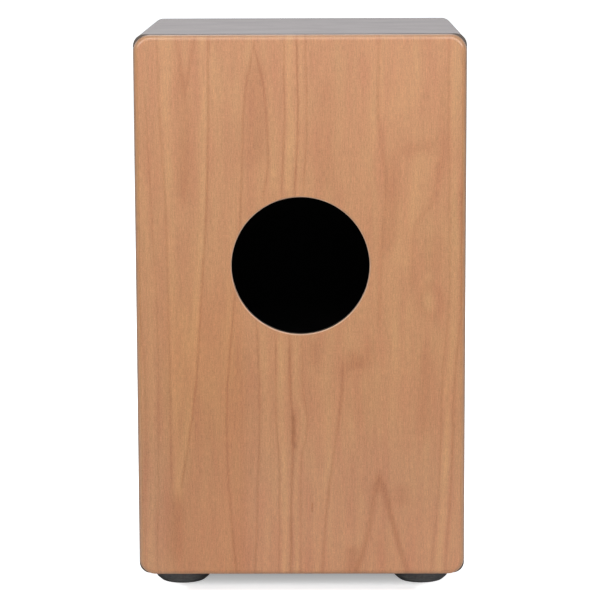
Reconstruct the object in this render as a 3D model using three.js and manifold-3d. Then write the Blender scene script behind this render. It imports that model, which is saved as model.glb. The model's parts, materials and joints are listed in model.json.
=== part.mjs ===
// A snare cajon: a box drum with a rear panel that holds the round sound hole, four shell boards, a
// thin playing plate (tapa) screwed to the front, four rubber feet, and a snare bar that turns in two
// support blocks behind the tapa. Millimetres, +Z up. The origin is on the floor under the middle of
// the box. -Y is the rear, with the sound hole; +Y is the front, with the tapa; +X is on the right
// seen from the rear.
import * as THREE from "three";
import { mergeVertices } from "three/addons/utils/BufferGeometryUtils.js";
import Module from "manifold-3d";

// ---- driving dimensions ----------------------------------------------------------------------
const WIDTH = 300; // outside width, X
const DEPTH = 300; // outside depth, Y, over rear panel and tapa
const BODY_H = 497; // height of the box without its feet
const FOOT_H = 12; // floor to the underside of the box
const BOARD_T = 12; // shell board thickness
const EDGE_R = 10.5; // corner radius of shell and tapa, seen from the front
const REAR_T = 9; // rear panel thickness
const TAPA_T = 3.2; // tapa thickness
const SEAM = 0.2; // glue and lacquer line between neighbouring parts
const FOOT_IN = 39; // foot axis from the side and from the rear or front face
const BAR_Y = 124; // snare bar axis
const BAR_Z = 365;

const HALF_W = WIDTH / 2;
const Z0 = FOOT_H; // underside of the box
const Z1 = FOOT_H + BODY_H; // seat
const MID_Z = (Z0 + Z1) / 2;
const Y0 = -DEPTH / 2; // outer face of the rear panel
const Y1 = DEPTH / 2; // outer face of the tapa
const SHELL_Y0 = Y0 + REAR_T + SEAM;
const SHELL_Y1 = Y1 - TAPA_T - SEAM;
const SHELL_L = SHELL_Y1 - SHELL_Y0;
const INNER_X = HALF_W - BOARD_T; // inside face of a side board
const INNER_Z0 = Z0 + BOARD_T;
const INNER_Z1 = Z1 - BOARD_T;

// Name and direction of each half, along X, Y and Z.
const SIDES = [["left", -1], ["right", 1]];
const FACES = [["rear", -1], ["front", 1]];
const LEVELS = [["top", 1], ["bottom", -1]];
const QUARTER = Math.PI / 2;

// ---- materials -------------------------------------------------------------------------------
const material = (settings) => new THREE.MeshStandardMaterial(settings);
const veneer = material({ color: 0xc99470, roughness: 0.5, metalness: 0 });
const blackLacquer = material({ color: 0x1b1a1b, roughness: 0.4, metalness: 0 });
const blackStain = material({ color: 0x151413, roughness: 0.8, metalness: 0 });
const beech = material({ color: 0xc8a27a, roughness: 0.6, metalness: 0 });
const rubber = material({ color: 0x2b2b2a, roughness: 0.85, metalness: 0 });
const zinc = material({ color: 0xb9bbbd, roughness: 0.35, metalness: 1 });
const blackSteel = material({ color: 0x202022, roughness: 0.4, metalness: 1 });
const snareSteel = material({ color: 0xc9cbcc, roughness: 0.25, metalness: 1 });
const felt = material({ color: 0x303032, roughness: 0.95, metalness: 0 });

// ---- solids ----------------------------------------------------------------------------------
const wasm = await Module();
wasm.setup();

function solid(source) {
  const bare = source.clone();
  bare.deleteAttribute("normal");
  bare.deleteAttribute("uv");
  const merged = mergeVertices(bare, 1e-4);
  return new wasm.Manifold(
    new wasm.Mesh({
      numProp: 3,
      vertProperties: new Float32Array(merged.attributes.position.array),
      triVerts: new Uint32Array(merged.index.array),
    }),
  );
}

function geometry(manifold) {
  const mesh = manifold.getMesh();
  const stride = mesh.numProp;
  const positions = new Float32Array(mesh.numVert * 3);
  for (let i = 0; i < mesh.numVert; i++) {
    positions.set(mesh.vertProperties.subarray(i * stride, i * stride + 3), i * 3);
  }
  const indexed = new THREE.BufferGeometry();
  indexed.setAttribute("position", new THREE.BufferAttribute(positions, 3));
  indexed.setIndex(new THREE.BufferAttribute(new Uint32Array(mesh.triVerts), 1));
  const flat = indexed.toNonIndexed();
  flat.computeVertexNormals();
  return flat;
}

const subtractAll = (body, tools) => tools.reduce((rest, tool) => rest.subtract(solid(tool)), body);
const cut = (body, ...tools) => geometry(subtractAll(solid(body), tools));

// A box given by its lowest and highest corners.
function block([x0, y0, z0], [x1, y1, z1]) {
  return new THREE.BoxGeometry(x1 - x0, y1 - y0, z1 - z0).translate(
    (x0 + x1) / 2,
    (y0 + y1) / 2,
    (z0 + z1) / 2,
  );
}

// Cylinders by the axis they lie along, centred on the origin.
const cylinderY = (r, length, segments) => new THREE.CylinderGeometry(r, r, length, segments);
const cylinderX = (...size) => cylinderY(...size).rotateZ(QUARTER);
const cylinderZ = (...size) => cylinderY(...size).rotateX(QUARTER);

// A profile drawn in X and Z, swept along +Y from y0 by length.
function alongY(points, y0, length) {
  const shape = new THREE.Shape(points.map(([x, z]) => new THREE.Vector2(x, z)));
  return new THREE.ExtrudeGeometry(shape, { depth: length, bevelEnabled: false })
    .rotateX(QUARTER)
    .translate(0, y0 + length, 0);
}

// A profile of [radius, height] pairs turned about Z; it starts and ends on the axis or closes on
// itself.
function turned(points, segments) {
  return new THREE.LatheGeometry(
    points.map(([radius, height]) => new THREE.Vector2(radius, height)),
    segments,
  ).rotateX(QUARTER);
}

// A flat ring about Z, standing on z 0.
function ring({ innerR, outerR, thickness, segments }) {
  const profile = [
    [innerR, 0],
    [outerR, 0],
    [outerR, thickness],
    [innerR, thickness],
    [innerR, 0],
  ];
  return turned(profile, segments);
}

// Points of an arc in X and Z, angles in degrees.
const arc = (centreX, centreZ, r, from, to, steps) =>
  Array.from({ length: steps + 1 }, (_, i) => {
    const angle = THREE.MathUtils.degToRad(from + ((to - from) * i) / steps);
    return [centreX + r * Math.cos(angle), centreZ + r * Math.sin(angle)];
  });

function roundedRectangle(halfW, halfH, r) {
  const x = halfW - r;
  const z = halfH - r;
  return [
    ...arc(x, z, r, 0, 90, 6),
    ...arc(-x, z, r, 90, 180, 6),
    ...arc(-x, -z, r, 180, 270, 6),
    ...arc(x, -z, r, 270, 360, 6),
  ];
}

// A profile mirrored by signs in X and Z, kept counter-clockwise.
function mirrored(points, signX, signZ) {
  const moved = points.map(([x, z]) => [x * signX, z * signZ]);
  return signX * signZ < 0 ? moved.reverse() : moved;
}

const cajon = new THREE.Group();
function addGroup(parent, x = 0, y = 0, z = 0) {
  const group = new THREE.Group();
  group.position.set(x, y, z);
  parent.add(group);
  return group;
}
function put(parent, name, shape, finish, at = [0, 0, 0], turn = [0, 0, 0]) {
  const mesh = new THREE.Mesh(shape, finish);
  mesh.name = name;
  mesh.position.set(...at);
  mesh.rotation.set(...turn);
  parent.add(mesh);
}

// ---- screws ----------------------------------------------------------------------------------
// slot is half the length of the cross recess; its slots are a quarter as wide as long.
const TAPA_SCREW = { headR: 3.6, shankR: 1.75, length: 22, slot: 2.1 };
const SUPPORT_SCREW = { headR: 3.8, shankR: 1.6, length: 27, slot: 2.2 };
const FOOT_SCREW = { headR: 4.2, headH: 2.6, shankR: 1.9, length: 16, slot: 2.3 };
const SNARE_SCREW = { headR: 3, headH: 1.9, shankR: 1.45, length: 12, slot: 1.7 };
const SCREW_SEGMENTS = 8;
const PILOT_FIT = 0.12; // clearance round a shank in its pilot
const HEAD_RIM = 0.3; // straight rim of a countersunk head
const HEAD_FIT = 0.2; // clearance round a countersunk screw
const OVERCUT = 1; // how far a cutter runs out past the faces

// Radius of a drilled hole that clears the round shank all the way round the hole's flats.
const pilotR = ({ shankR }) => (shankR + PILOT_FIT) / Math.cos(Math.PI / SCREW_SEGMENTS);

// The lower end of a screw's profile, from its point up to the full shank.
const screwPoint = ({ shankR, length }) => [
  [0, -length],
  [shankR * 0.25, -length + 0.4],
  [shankR, -length + 3.2],
];

// A screw along Z with a cross recess cut down from z top.
function crossRecessed(profile, slot, top, depth) {
  const bottom = top - depth;
  const out = top + OVERCUT;
  return cut(
    turned(profile, SCREW_SEGMENTS),
    block([-slot, -slot / 4, bottom], [slot, slot / 4, out]),
    block([-slot / 4, -slot, bottom], [slot / 4, slot, out]),
  );
}

// A countersunk wood screw: the head's face is at z 0 and looks to +Z, the point is at -length.
function countersunk(screw) {
  const { headR, shankR, slot } = screw;
  const coneH = headR - shankR;
  const profile = [
    ...screwPoint(screw),
    [shankR, -coneH - HEAD_RIM],
    [headR, -HEAD_RIM],
    [headR, 0],
    [0, 0],
  ];
  return crossRecessed(profile, slot, 0, coneH * 0.75);
}

// A pan-head wood screw: the head stands on z 0 and rises to headH, the point is at -length.
function panHead(screw) {
  const { headR, headH, shankR, slot } = screw;
  const profile = [
    ...screwPoint(screw),
    [shankR, 0],
    [headR, 0],
    [headR, headH * 0.45],
    [headR * 0.72, headH * 0.88],
    [0, headH],
  ];
  return crossRecessed(profile, slot, headH, headH * 0.7);
}

// The hole for a countersunk screw whose face lies `under` below z 0.
function countersunkHole({ headR, shankR }, depth, under) {
  const coneTop = -under - HEAD_RIM - HEAD_FIT;
  const profile = [
    [0, -depth - OVERCUT],
    [shankR + HEAD_FIT, -depth - OVERCUT],
    [shankR + HEAD_FIT, coneTop - (headR - shankR)],
    [headR + HEAD_FIT, coneTop],
    [headR + HEAD_FIT, OVERCUT],
    [0, OVERCUT],
  ];
  return turned(profile, SCREW_SEGMENTS);
}

// ---- screw places ----------------------------------------------------------------------------
const TAPA_SCREW_UNDER = 0.15; // screw face below the tapa's face
const TOP_SCREW_PITCH = 85;
const BOTTOM_SCREW_PITCH = 100;
const SIDE_SCREW_Z0 = 58; // lowest screw in a side board
const SIDE_SCREW_PITCH = 118;

const screwRow = (board, pitch, z) =>
  ["left", "middle", "right"].map((place, i) => ({ board, place, x: (i - 1) * pitch, z }));
const screwColumn = ([board, sign]) =>
  [1, 2, 3, 4].map((place) => ({
    board,
    place,
    x: sign * (HALF_W - BOARD_T / 2),
    z: SIDE_SCREW_Z0 + (place - 1) * SIDE_SCREW_PITCH,
  }));
const TAPA_SCREWS = [
  ...screwRow("top", TOP_SCREW_PITCH, Z1 - BOARD_T / 2),
  ...screwRow("bottom", BOTTOM_SCREW_PITCH, Z0 + BOARD_T / 2),
  ...SIDES.flatMap(screwColumn),
];

// The tapa screws' pilots in one shell board, in the frame of that board.
const tapaPilots = (boardName, originX, originZ) =>
  TAPA_SCREWS.filter(({ board }) => board === boardName).map(({ x, z }) =>
    cylinderY(pilotR(TAPA_SCREW), 2 * TAPA_SCREW.length, SCREW_SEGMENTS).translate(
      x - originX,
      SHELL_Y1,
      z - originZ,
    ),
  );

// The two screws of a support block stand on a diagonal: name, then Y and Z from the bar's axis.
const SUPPORT_SCREW_PLACES = [
  ["lower", -12.5, -14.5],
  ["upper", 12.5, 14.5],
];

// ---- rear panel ------------------------------------------------------------------------------
const REAR_R = 15; // corner radius
const REAR_ROUND = 5; // round-over round the outer edge
const REAR_ROUND_STEPS = 4;
const REAR_INSET = 0.4; // the panel stands this far inside the shell's outline
const HOLE_R = 62.5; // sound hole radius
const HOLE_UP = 288; // sound hole centre above the underside of the box
const HOLE_EASE = 1; // chamfer of the hole on both faces

// The closed panel: rounded rectangles joined from the outer face to the inner one.
function rearBlank() {
  const halfW = HALF_W - REAR_INSET;
  const halfH = BODY_H / 2 - REAR_INSET;
  const stations = []; // [inset of the outline, y]
  for (let i = 0; i <= REAR_ROUND_STEPS; i++) {
    const angle = QUARTER * (i / REAR_ROUND_STEPS);
    stations.push([REAR_ROUND * (1 - Math.sin(angle)), Y0 + REAR_ROUND * (1 - Math.cos(angle))]);
  }
  stations.push([0, Y0 + REAR_T]);
  const loops = stations.map(([inset, y]) =>
    roundedRectangle(halfW - inset, halfH - inset, REAR_R - inset).map(([x, z]) => [
      x,
      y,
      z + MID_Z,
    ]),
  );
  const count = loops[0].length;
  const lastLoop = (loops.length - 1) * count;
  const outerCentre = loops.length * count;
  const innerCentre = outerCentre + 1;
  const points = [...loops.flat(), [0, Y0, MID_Z], [0, Y0 + REAR_T, MID_Z]];

  const triangles = [];
  for (let start = 0; start < lastLoop; start += count) {
    for (let i = 0; i < count; i++) {
      const here = start + i;
      const next = start + ((i + 1) % count);
      triangles.push(here, next + count, next, here, here + count, next + count);
    }
  }
  for (let i = 0; i < count; i++) {
    const next = (i + 1) % count;
    triangles.push(outerCentre, i, next, innerCentre, lastLoop + next, lastLoop + i);
  }
  const blank = new THREE.BufferGeometry();
  blank.setAttribute("position", new THREE.BufferAttribute(new Float32Array(points.flat()), 3));
  blank.setIndex(triangles);
  return blank;
}

function addRearPanel() {
  const easedR = HOLE_R + HOLE_EASE;
  const profile = [
    [0, -OVERCUT],
    [easedR + OVERCUT, -OVERCUT],
    [easedR, 0],
    [HOLE_R, HOLE_EASE],
    [HOLE_R, REAR_T - HOLE_EASE],
    [easedR, REAR_T],
    [easedR + OVERCUT, REAR_T + OVERCUT],
    [0, REAR_T + OVERCUT],
  ];
  const hole = turned(profile, 56).rotateX(-QUARTER).translate(0, Y0, Z0 + HOLE_UP);
  put(cajon, "rear_panel", cut(rearBlank(), hole), veneer);
}

// ---- shell -----------------------------------------------------------------------------------
const TONGUE_W = 4; // tongue of a side board, across its thickness
const TONGUE_H = 5; // tongue of a side board, into the top or bottom board
const TONGUE_FIT = 0.25; // clearance at each side and at the end of a tongue
const FOOT_PILOT = { length: 24, skin: 1 }; // skin: wood left beyond the end of the hole
const SUPPORT_PILOT = { length: 20, skin: 3 };

// Top board: rounded long edges, a groove near each end for a side board's tongue. Its underside
// is z 0.
function topBoardProfile() {
  const grooveMid = HALF_W - BOARD_T / 2;
  const grooveHalf = TONGUE_W / 2 + TONGUE_FIT;
  const near = grooveMid - grooveHalf;
  const far = grooveMid + grooveHalf;
  const depth = TONGUE_H + TONGUE_FIT;
  const arcX = HALF_W - EDGE_R;
  const arcZ = BOARD_T - EDGE_R;
  return [
    [-HALF_W, 0],
    [-far, 0], [-far, depth], [-near, depth], [-near, 0],
    [near, 0], [near, depth], [far, depth], [far, 0],
    [HALF_W, 0],
    ...arc(arcX, arcZ, EDGE_R, 0, 90, 8),
    ...arc(-arcX, arcZ, EDGE_R, 90, 180, 8),
  ];
}

function addTopAndBottom(shell) {
  const profile = topBoardProfile();
  const top = alongY(profile, SHELL_Y0, SHELL_L);
  const topCut = cut(top, ...tapaPilots("top", 0, INNER_Z1));
  put(shell, "top_board", topCut, blackLacquer, [0, 0, INNER_Z1]);

  const footPilots = SIDES.flatMap(([, signX]) =>
    FACES.map(([, signY]) =>
      cylinderZ(pilotR(FOOT_SCREW), FOOT_PILOT.length, SCREW_SEGMENTS).translate(
        signX * (HALF_W - FOOT_IN),
        signY * (DEPTH / 2 - FOOT_IN),
        -FOOT_PILOT.skin - FOOT_PILOT.length / 2,
      ),
    ),
  );
  const bottom = alongY(mirrored(profile, 1, -1), SHELL_Y0, SHELL_L);
  const bottomCut = cut(bottom, ...tapaPilots("bottom", 0, INNER_Z0), ...footPilots);
  put(shell, "bottom_board", bottomCut, blackLacquer, [0, 0, INNER_Z0]);
}

// Side boards: a tongue on each end. Local x 0 is the middle of the board's thickness.
function addSideBoards(shell) {
  const half = BOARD_T / 2;
  const tongue = TONGUE_W / 2;
  const low = INNER_Z0 + SEAM;
  const high = INNER_Z1 - SEAM;
  const profile = [
    [-half, low], [-tongue, low], [-tongue, low - TONGUE_H],
    [tongue, low - TONGUE_H], [tongue, low], [half, low],
    [half, high], [tongue, high], [tongue, high + TONGUE_H],
    [-tongue, high + TONGUE_H], [-tongue, high], [-half, high],
  ];
  const pilotX = half - SUPPORT_PILOT.skin - SUPPORT_PILOT.length / 2;
  for (const [side, sign] of SIDES) {
    const x = sign * (HALF_W - half);
    const supportPilots = SUPPORT_SCREW_PLACES.map(([, y, z]) =>
      cylinderX(pilotR(SUPPORT_SCREW), SUPPORT_PILOT.length, SCREW_SEGMENTS).translate(
        sign * pilotX,
        BAR_Y + y,
        BAR_Z + z,
      ),
    );
    const board = alongY(profile, SHELL_Y0, SHELL_L);
    const boardCut = cut(board, ...tapaPilots(side, x, 0), ...supportPilots);
    put(shell, side + "_side_board", boardCut, blackLacquer, [x, 0, 0]);
  }
}

// Triangular glue blocks with blunted tips in the four long corners.
function addGlueBlocks(shell) {
  const leg = 18;
  const blunt = 1.5;
  const rearGap = 2; // from the shell's rear edge
  const frontGap = 6; // from the shell's front edge
  const profile = [
    [-leg, -SEAM],
    [-leg, -SEAM - blunt],
    [-SEAM - blunt, -leg],
    [-SEAM, -leg],
    [-SEAM, -SEAM],
  ];
  for (const [level, signZ] of LEVELS) {
    for (const [side, signX] of SIDES) {
      const corner = mirrored(profile, signX, signZ);
      const bar = alongY(corner, SHELL_Y0 + rearGap, SHELL_L - rearGap - frontGap);
      const z = signZ > 0 ? INNER_Z1 : INNER_Z0;
      put(shell, `glue_block_${level}_${side}`, bar, blackStain, [signX * INNER_X, 0, z]);
    }
  }
}

function addShell() {
  const shell = addGroup(cajon);
  addTopAndBottom(shell);
  addSideBoards(shell);
  addGlueBlocks(shell);
}

// ---- tapa ------------------------------------------------------------------------------------
const TAPA_INSET = 0.2; // the tapa stands this far inside the shell's outline
const TAPA_HOLE_DEPTH = 8; // runs out behind the tapa

function addTapa() {
  const outline = roundedRectangle(HALF_W - TAPA_INSET, BODY_H / 2 - TAPA_INSET, EDGE_R);
  const holes = TAPA_SCREWS.map(({ x, z }) =>
    countersunkHole(TAPA_SCREW, TAPA_HOLE_DEPTH, TAPA_SCREW_UNDER)
      .rotateX(-QUARTER)
      .translate(x, TAPA_T, z - MID_Z),
  );
  const plate = cut(alongY(outline, 0, TAPA_T), ...holes);
  put(cajon, "tapa", plate, veneer, [0, Y1 - TAPA_T, MID_Z]);
}

function addTapaScrews() {
  const screws = addGroup(cajon);
  const screw = countersunk(TAPA_SCREW);
  for (const { board, place, x, z } of TAPA_SCREWS) {
    const at = [x, Y1 - TAPA_SCREW_UNDER, z];
    put(screws, `tapa_screw_${board}_${place}`, screw, blackSteel, at, [-QUARTER, 0, 0]);
  }
}

// ---- feet ------------------------------------------------------------------------------------
const FOOT_TOP_R = 25.4;
const FOOT_BOTTOM_R = 20.5; // flat underside
const FOOT_CHAMFER_TOP = 3.5; // height of the chamfer round the tread
const FOOT_BORE_R = 2.3; // screw hole through foot and washer
const RECESS_R = 9;
const RECESS_H = 7.5;
const FOOT_WASHER_T = 1.2;
const FOOT_GAP = 0.1; // between recess, washer and screw head

// A rubber foot chamfered towards the floor, with a recess in its underside.
function footBody() {
  const top = FOOT_H - SEAM;
  const profile = [
    [FOOT_BORE_R, top],
    [FOOT_BORE_R, RECESS_H],
    [RECESS_R, RECESS_H],
    [RECESS_R, 0],
    [FOOT_BOTTOM_R, 0],
    [FOOT_TOP_R - 0.9, FOOT_CHAMFER_TOP],
    [FOOT_TOP_R, FOOT_CHAMFER_TOP + 2],
    [FOOT_TOP_R, top],
    [FOOT_BORE_R, top],
  ];
  return turned(profile, 24);
}

function addFeet() {
  const foot = footBody();
  const washer = ring({
    innerR: FOOT_BORE_R,
    outerR: 8.6,
    thickness: FOOT_WASHER_T,
    segments: 16,
  });
  const screw = panHead(FOOT_SCREW);
  const washerZ = RECESS_H - FOOT_WASHER_T - FOOT_GAP;
  for (const [face, signY] of FACES) {
    for (const [side, signX] of SIDES) {
      const x = signX * (HALF_W - FOOT_IN);
      const group = addGroup(cajon, x, signY * (DEPTH / 2 - FOOT_IN), 0);
      const id = `${face}_${side}`;
      put(group, "foot_" + id, foot, rubber);
      put(group, "foot_washer_" + id, washer, zinc, [0, 0, washerZ]);
      const screwAt = [0, 0, washerZ - FOOT_GAP];
      put(group, "foot_screw_" + id, screw, zinc, screwAt, [Math.PI, 0, 0]);
    }
  }
}

// ---- snare bar supports ----------------------------------------------------------------------
const SUPPORT_T = 20; // X
const SUPPORT_D = 36; // Y
const SUPPORT_H = 40; // Z
const BORE_R = 8; // bore for the bar's tenon
const BORE_DEPTH = 15;
const SUPPORT_HOLE_DEPTH = 26; // runs out behind the block
const SUPPORT_SCREW_UNDER = 0.3; // screw face below the block's face
const FRICTION_WASHER = { innerR: 8.4, outerR: 10, thickness: 1.8, segments: 20 };
const FRICTION_GAP = 0.1; // between washer and block

function supportBlock(sign, faceX) {
  const backX = sign * (INNER_X - SEAM);
  const blank = block(
    [Math.min(faceX, backX), -SUPPORT_D / 2, -SUPPORT_H / 2],
    [Math.max(faceX, backX), SUPPORT_D / 2, SUPPORT_H / 2],
  );
  const bore = cylinderX(BORE_R, 2 * BORE_DEPTH, 32).translate(faceX, 0, 0);
  const holes = SUPPORT_SCREW_PLACES.map(([, y, z]) =>
    countersunkHole(SUPPORT_SCREW, SUPPORT_HOLE_DEPTH, SUPPORT_SCREW_UNDER)
      .rotateY(-sign * QUARTER)
      .translate(faceX, y, z),
  );
  return cut(blank, bore, ...holes);
}

function addSupports() {
  const screw = countersunk(SUPPORT_SCREW);
  const washer = ring(FRICTION_WASHER);
  for (const [side, sign] of SIDES) {
    const faceX = sign * (INNER_X - SUPPORT_T); // the face that looks to the bar
    const body = supportBlock(sign, faceX);
    put(cajon, "snare_support_" + side, body, blackStain, [0, BAR_Y, BAR_Z]);
    for (const [place, y, z] of SUPPORT_SCREW_PLACES) {
      const at = [faceX + sign * SUPPORT_SCREW_UNDER, BAR_Y + y, BAR_Z + z];
      put(cajon, `support_screw_${side}_${place}`, screw, zinc, at, [0, -sign * QUARTER, 0]);
    }
    // The turned washer grows towards +X from its origin on both sides.
    const reach = sign > 0 ? FRICTION_WASHER.thickness : 0;
    const washerAt = [faceX - sign * FRICTION_GAP - reach, BAR_Y, BAR_Z];
    put(cajon, "friction_washer_" + side, washer, felt, washerAt, [0, QUARTER, 0]);
  }
}

// ---- snare bar and its two snare sets --------------------------------------------------------
const BAR_D = 20; // section, Y
const BAR_H = 22; // section, Z
const BAR_CHAMFER = 1.5;
const BAR_HALF = 115.5; // half the bar's square length
const TENON_R = 7.9;
const TENON_L = 14; // beyond each end of the square length
const STRANDS = 20; // strands in one snare set
const STRAND_R = 0.85;
const STRAND_PITCH = 2.1;
const STRAND_LEN = 120;
const STRAND_LEAN = 4.8; // degrees, forwards to the tapa
const STRAND_Z0 = -3; // lower end of a strand from the bar's axis
const STRAND_STAND = STRAND_R * 0.45; // strand axis in front of the plate, less than its radius
const SNARE_X = 52; // middle of a snare set from the middle of the bar
const PLATE_W = 62;
const PLATE_H = 14;
const PLATE_T = 1;
const PLATE_UP = 1; // middle of the plate above the bar's axis
const PLATE_Y = BAR_D / 2 + 0.1; // rear face of the plate, just clear of the bar
const PLATE_SCREW_X = PLATE_W / 2 - 4.5; // screw from the middle of the plate
const SNARE_SCREW_GAP = 0.1; // between plate and screw head

const plateHole = (x, y, length) =>
  cylinderY(pilotR(SNARE_SCREW), length, SCREW_SEGMENTS).translate(x, y, PLATE_UP);

// A chamfered square bar with a round tenon at each end.
function snareBar() {
  const y = BAR_D / 2;
  const z = BAR_H / 2;
  const flatY = y - BAR_CHAMFER;
  const flatZ = z - BAR_CHAMFER;
  const section = [
    [-flatY, -z], [flatY, -z], [y, -flatZ], [y, flatZ],
    [flatY, z], [-flatY, z], [-y, flatZ], [-y, -flatZ],
  ];
  const square = alongY(section, -BAR_HALF, 2 * BAR_HALF).rotateZ(-QUARTER);
  const tenons = cylinderX(TENON_R, 2 * (BAR_HALF + TENON_L), 32);
  const pilots = SIDES.flatMap(([, sign]) =>
    [-1, 1].map((end) => plateHole(sign * SNARE_X + end * PLATE_SCREW_X, y, 26)),
  );
  return geometry(subtractAll(solid(square).add(solid(tenons)), pilots));
}

// One snare set: a steel end plate with its strands brazed across the front of it.
function snareSet() {
  const plate = block(
    [-PLATE_W / 2, PLATE_Y, PLATE_UP - PLATE_H / 2],
    [PLATE_W / 2, PLATE_Y + PLATE_T, PLATE_UP + PLATE_H / 2],
  );
  let set = solid(plate);
  for (let i = 0; i < STRANDS; i++) {
    const x = (i - (STRANDS - 1) / 2) * STRAND_PITCH;
    const strand = cylinderZ(STRAND_R, STRAND_LEN, 4)
      .translate(0, 0, STRAND_LEN / 2)
      .rotateX(THREE.MathUtils.degToRad(-STRAND_LEAN))
      .translate(x, PLATE_Y + PLATE_T + STRAND_STAND, STRAND_Z0);
    set = set.add(solid(strand));
  }
  const holes = [-1, 1].map((end) => plateHole(end * PLATE_SCREW_X, PLATE_Y, 10));
  return geometry(subtractAll(set, holes));
}

function addSnare() {
  const snare = addGroup(cajon, 0, BAR_Y, BAR_Z);
  put(snare, "snare_bar", snareBar(), beech);
  const set = snareSet();
  const screw = panHead(SNARE_SCREW);
  for (const [side, sign] of SIDES) {
    const setX = sign * SNARE_X;
    put(snare, "snare_set_" + side, set, snareSteel, [setX, 0, 0]);
    for (const [end, direction] of [["outer", sign], ["inner", -sign]]) {
      const screwX = setX + direction * PLATE_SCREW_X;
      const at = [screwX, PLATE_Y + PLATE_T + SNARE_SCREW_GAP, PLATE_UP];
      put(snare, `snare_screw_${side}_${end}`, screw, zinc, at, [-QUARTER, 0, 0]);
    }
  }
}

addRearPanel();
addShell();
addTapa();
addTapaScrews();
addFeet();
addSupports();
addSnare();

export default cajon;
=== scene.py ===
"""A cajon: a box-shaped hand drum standing on four rubber feet.

The floor is z = 0 and +Z is up. The rear panel, with the round sound hole, faces -Y and the
camera; the tapa (the thin playing face) faces +Y; left is -X. Lengths are millimetres unless
a comment says otherwise, and pieces are scaled to metres when they are finished.
"""

import json
import math

import bmesh
import bpy
import numpy as np
from mathutils import Matrix, Vector
from mathutils.geometry import tessellate_polygon

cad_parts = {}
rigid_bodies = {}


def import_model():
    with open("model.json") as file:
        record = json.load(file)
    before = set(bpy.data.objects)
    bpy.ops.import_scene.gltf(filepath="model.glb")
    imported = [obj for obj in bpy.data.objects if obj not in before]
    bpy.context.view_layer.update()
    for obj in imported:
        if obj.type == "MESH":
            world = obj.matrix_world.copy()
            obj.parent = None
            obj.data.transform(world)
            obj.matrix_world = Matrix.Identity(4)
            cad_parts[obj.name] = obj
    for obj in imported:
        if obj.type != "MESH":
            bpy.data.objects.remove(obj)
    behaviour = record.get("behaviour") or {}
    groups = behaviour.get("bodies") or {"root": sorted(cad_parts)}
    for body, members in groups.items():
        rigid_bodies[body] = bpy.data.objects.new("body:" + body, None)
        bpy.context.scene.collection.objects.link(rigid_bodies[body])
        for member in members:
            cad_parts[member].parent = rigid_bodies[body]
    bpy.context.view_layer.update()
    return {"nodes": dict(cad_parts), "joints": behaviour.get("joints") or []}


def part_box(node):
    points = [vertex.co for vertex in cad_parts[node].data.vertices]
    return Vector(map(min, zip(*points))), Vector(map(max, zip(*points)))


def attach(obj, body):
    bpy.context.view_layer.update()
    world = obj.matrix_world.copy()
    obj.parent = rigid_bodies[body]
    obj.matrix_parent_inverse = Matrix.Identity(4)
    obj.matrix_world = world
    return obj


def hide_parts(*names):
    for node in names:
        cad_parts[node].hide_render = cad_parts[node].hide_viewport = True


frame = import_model()
MM = 0.001
rng = np.random.default_rng(7)

# The box's driving dimensions
BOX_BOTTOM = round(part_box("bottom_board")[0].z * 1000, 2)
BOX_TOP = round(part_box("top_board")[1].z * 1000, 2)
HALF_DEPTH = 150.0  # from the centre to the outer face of either panel
SHEET_HEIGHT = 497.0  # veneer height covered by the figure tables
HOLE_RADIUS = 62.5
HOLE_HEIGHT = 288.0  # centre of the sound hole above BOX_BOTTOM


# ==========================================================================================
# Shader nodes
# ==========================================================================================


def plug(tree, socket, value):
    """Links a field or an output to a socket, or sets a plain value on it."""
    if isinstance(value, Field):
        value = value.socket
    if isinstance(value, bpy.types.NodeSocket):
        tree.links.new(value, socket)
    else:
        socket.default_value = value


def add_node(tree, kind, inputs=None, **settings):
    """Adds a shader node; inputs maps socket names or indices to values."""
    node = tree.nodes.new("ShaderNode" + kind)
    for name, value in settings.items():
        setattr(node, name, value)
    for key, value in (inputs or {}).items():
        plug(tree, node.inputs[key], value)
    return node


def math_node(tree, operation, *values):
    return add_node(tree, "Math", dict(enumerate(values)), operation=operation).outputs[0]


def map_range(tree, value, source, target=(0.0, 1.0), interpolation="SMOOTHSTEP"):
    inputs = {
        "Value": value,
        "From Min": source[0],
        "From Max": source[1],
        "To Min": target[0],
        "To Max": target[1],
    }
    return add_node(tree, "MapRange", inputs, interpolation_type=interpolation).outputs[0]


def mix_color(tree, factor, first, second, blend="MIX"):
    inputs = {0: factor}
    for key, color in ((6, first), (7, second)):
        inputs[key] = (*color, 1.0) if isinstance(color, tuple) else color
    return add_node(
        tree, "Mix", inputs, data_type="RGBA", blend_type=blend, clamp_factor=True
    ).outputs[2]


def curve_node(tree, value, points):
    """A smooth line through points of (input, output), all within 0 to 1."""
    node = add_node(tree, "FloatCurve")
    curve = node.mapping.curves[0]
    curve.points[0].location = points[0]
    curve.points[1].location = points[-1]
    for point in points[1:-1]:
        curve.points.new(*point)
    for point in curve.points:
        point.handle_type = "AUTO_CLAMPED"
    node.mapping.extend = "HORIZONTAL"
    node.mapping.update()
    plug(tree, node.inputs["Value"], value)
    return node.outputs[0]


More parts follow.
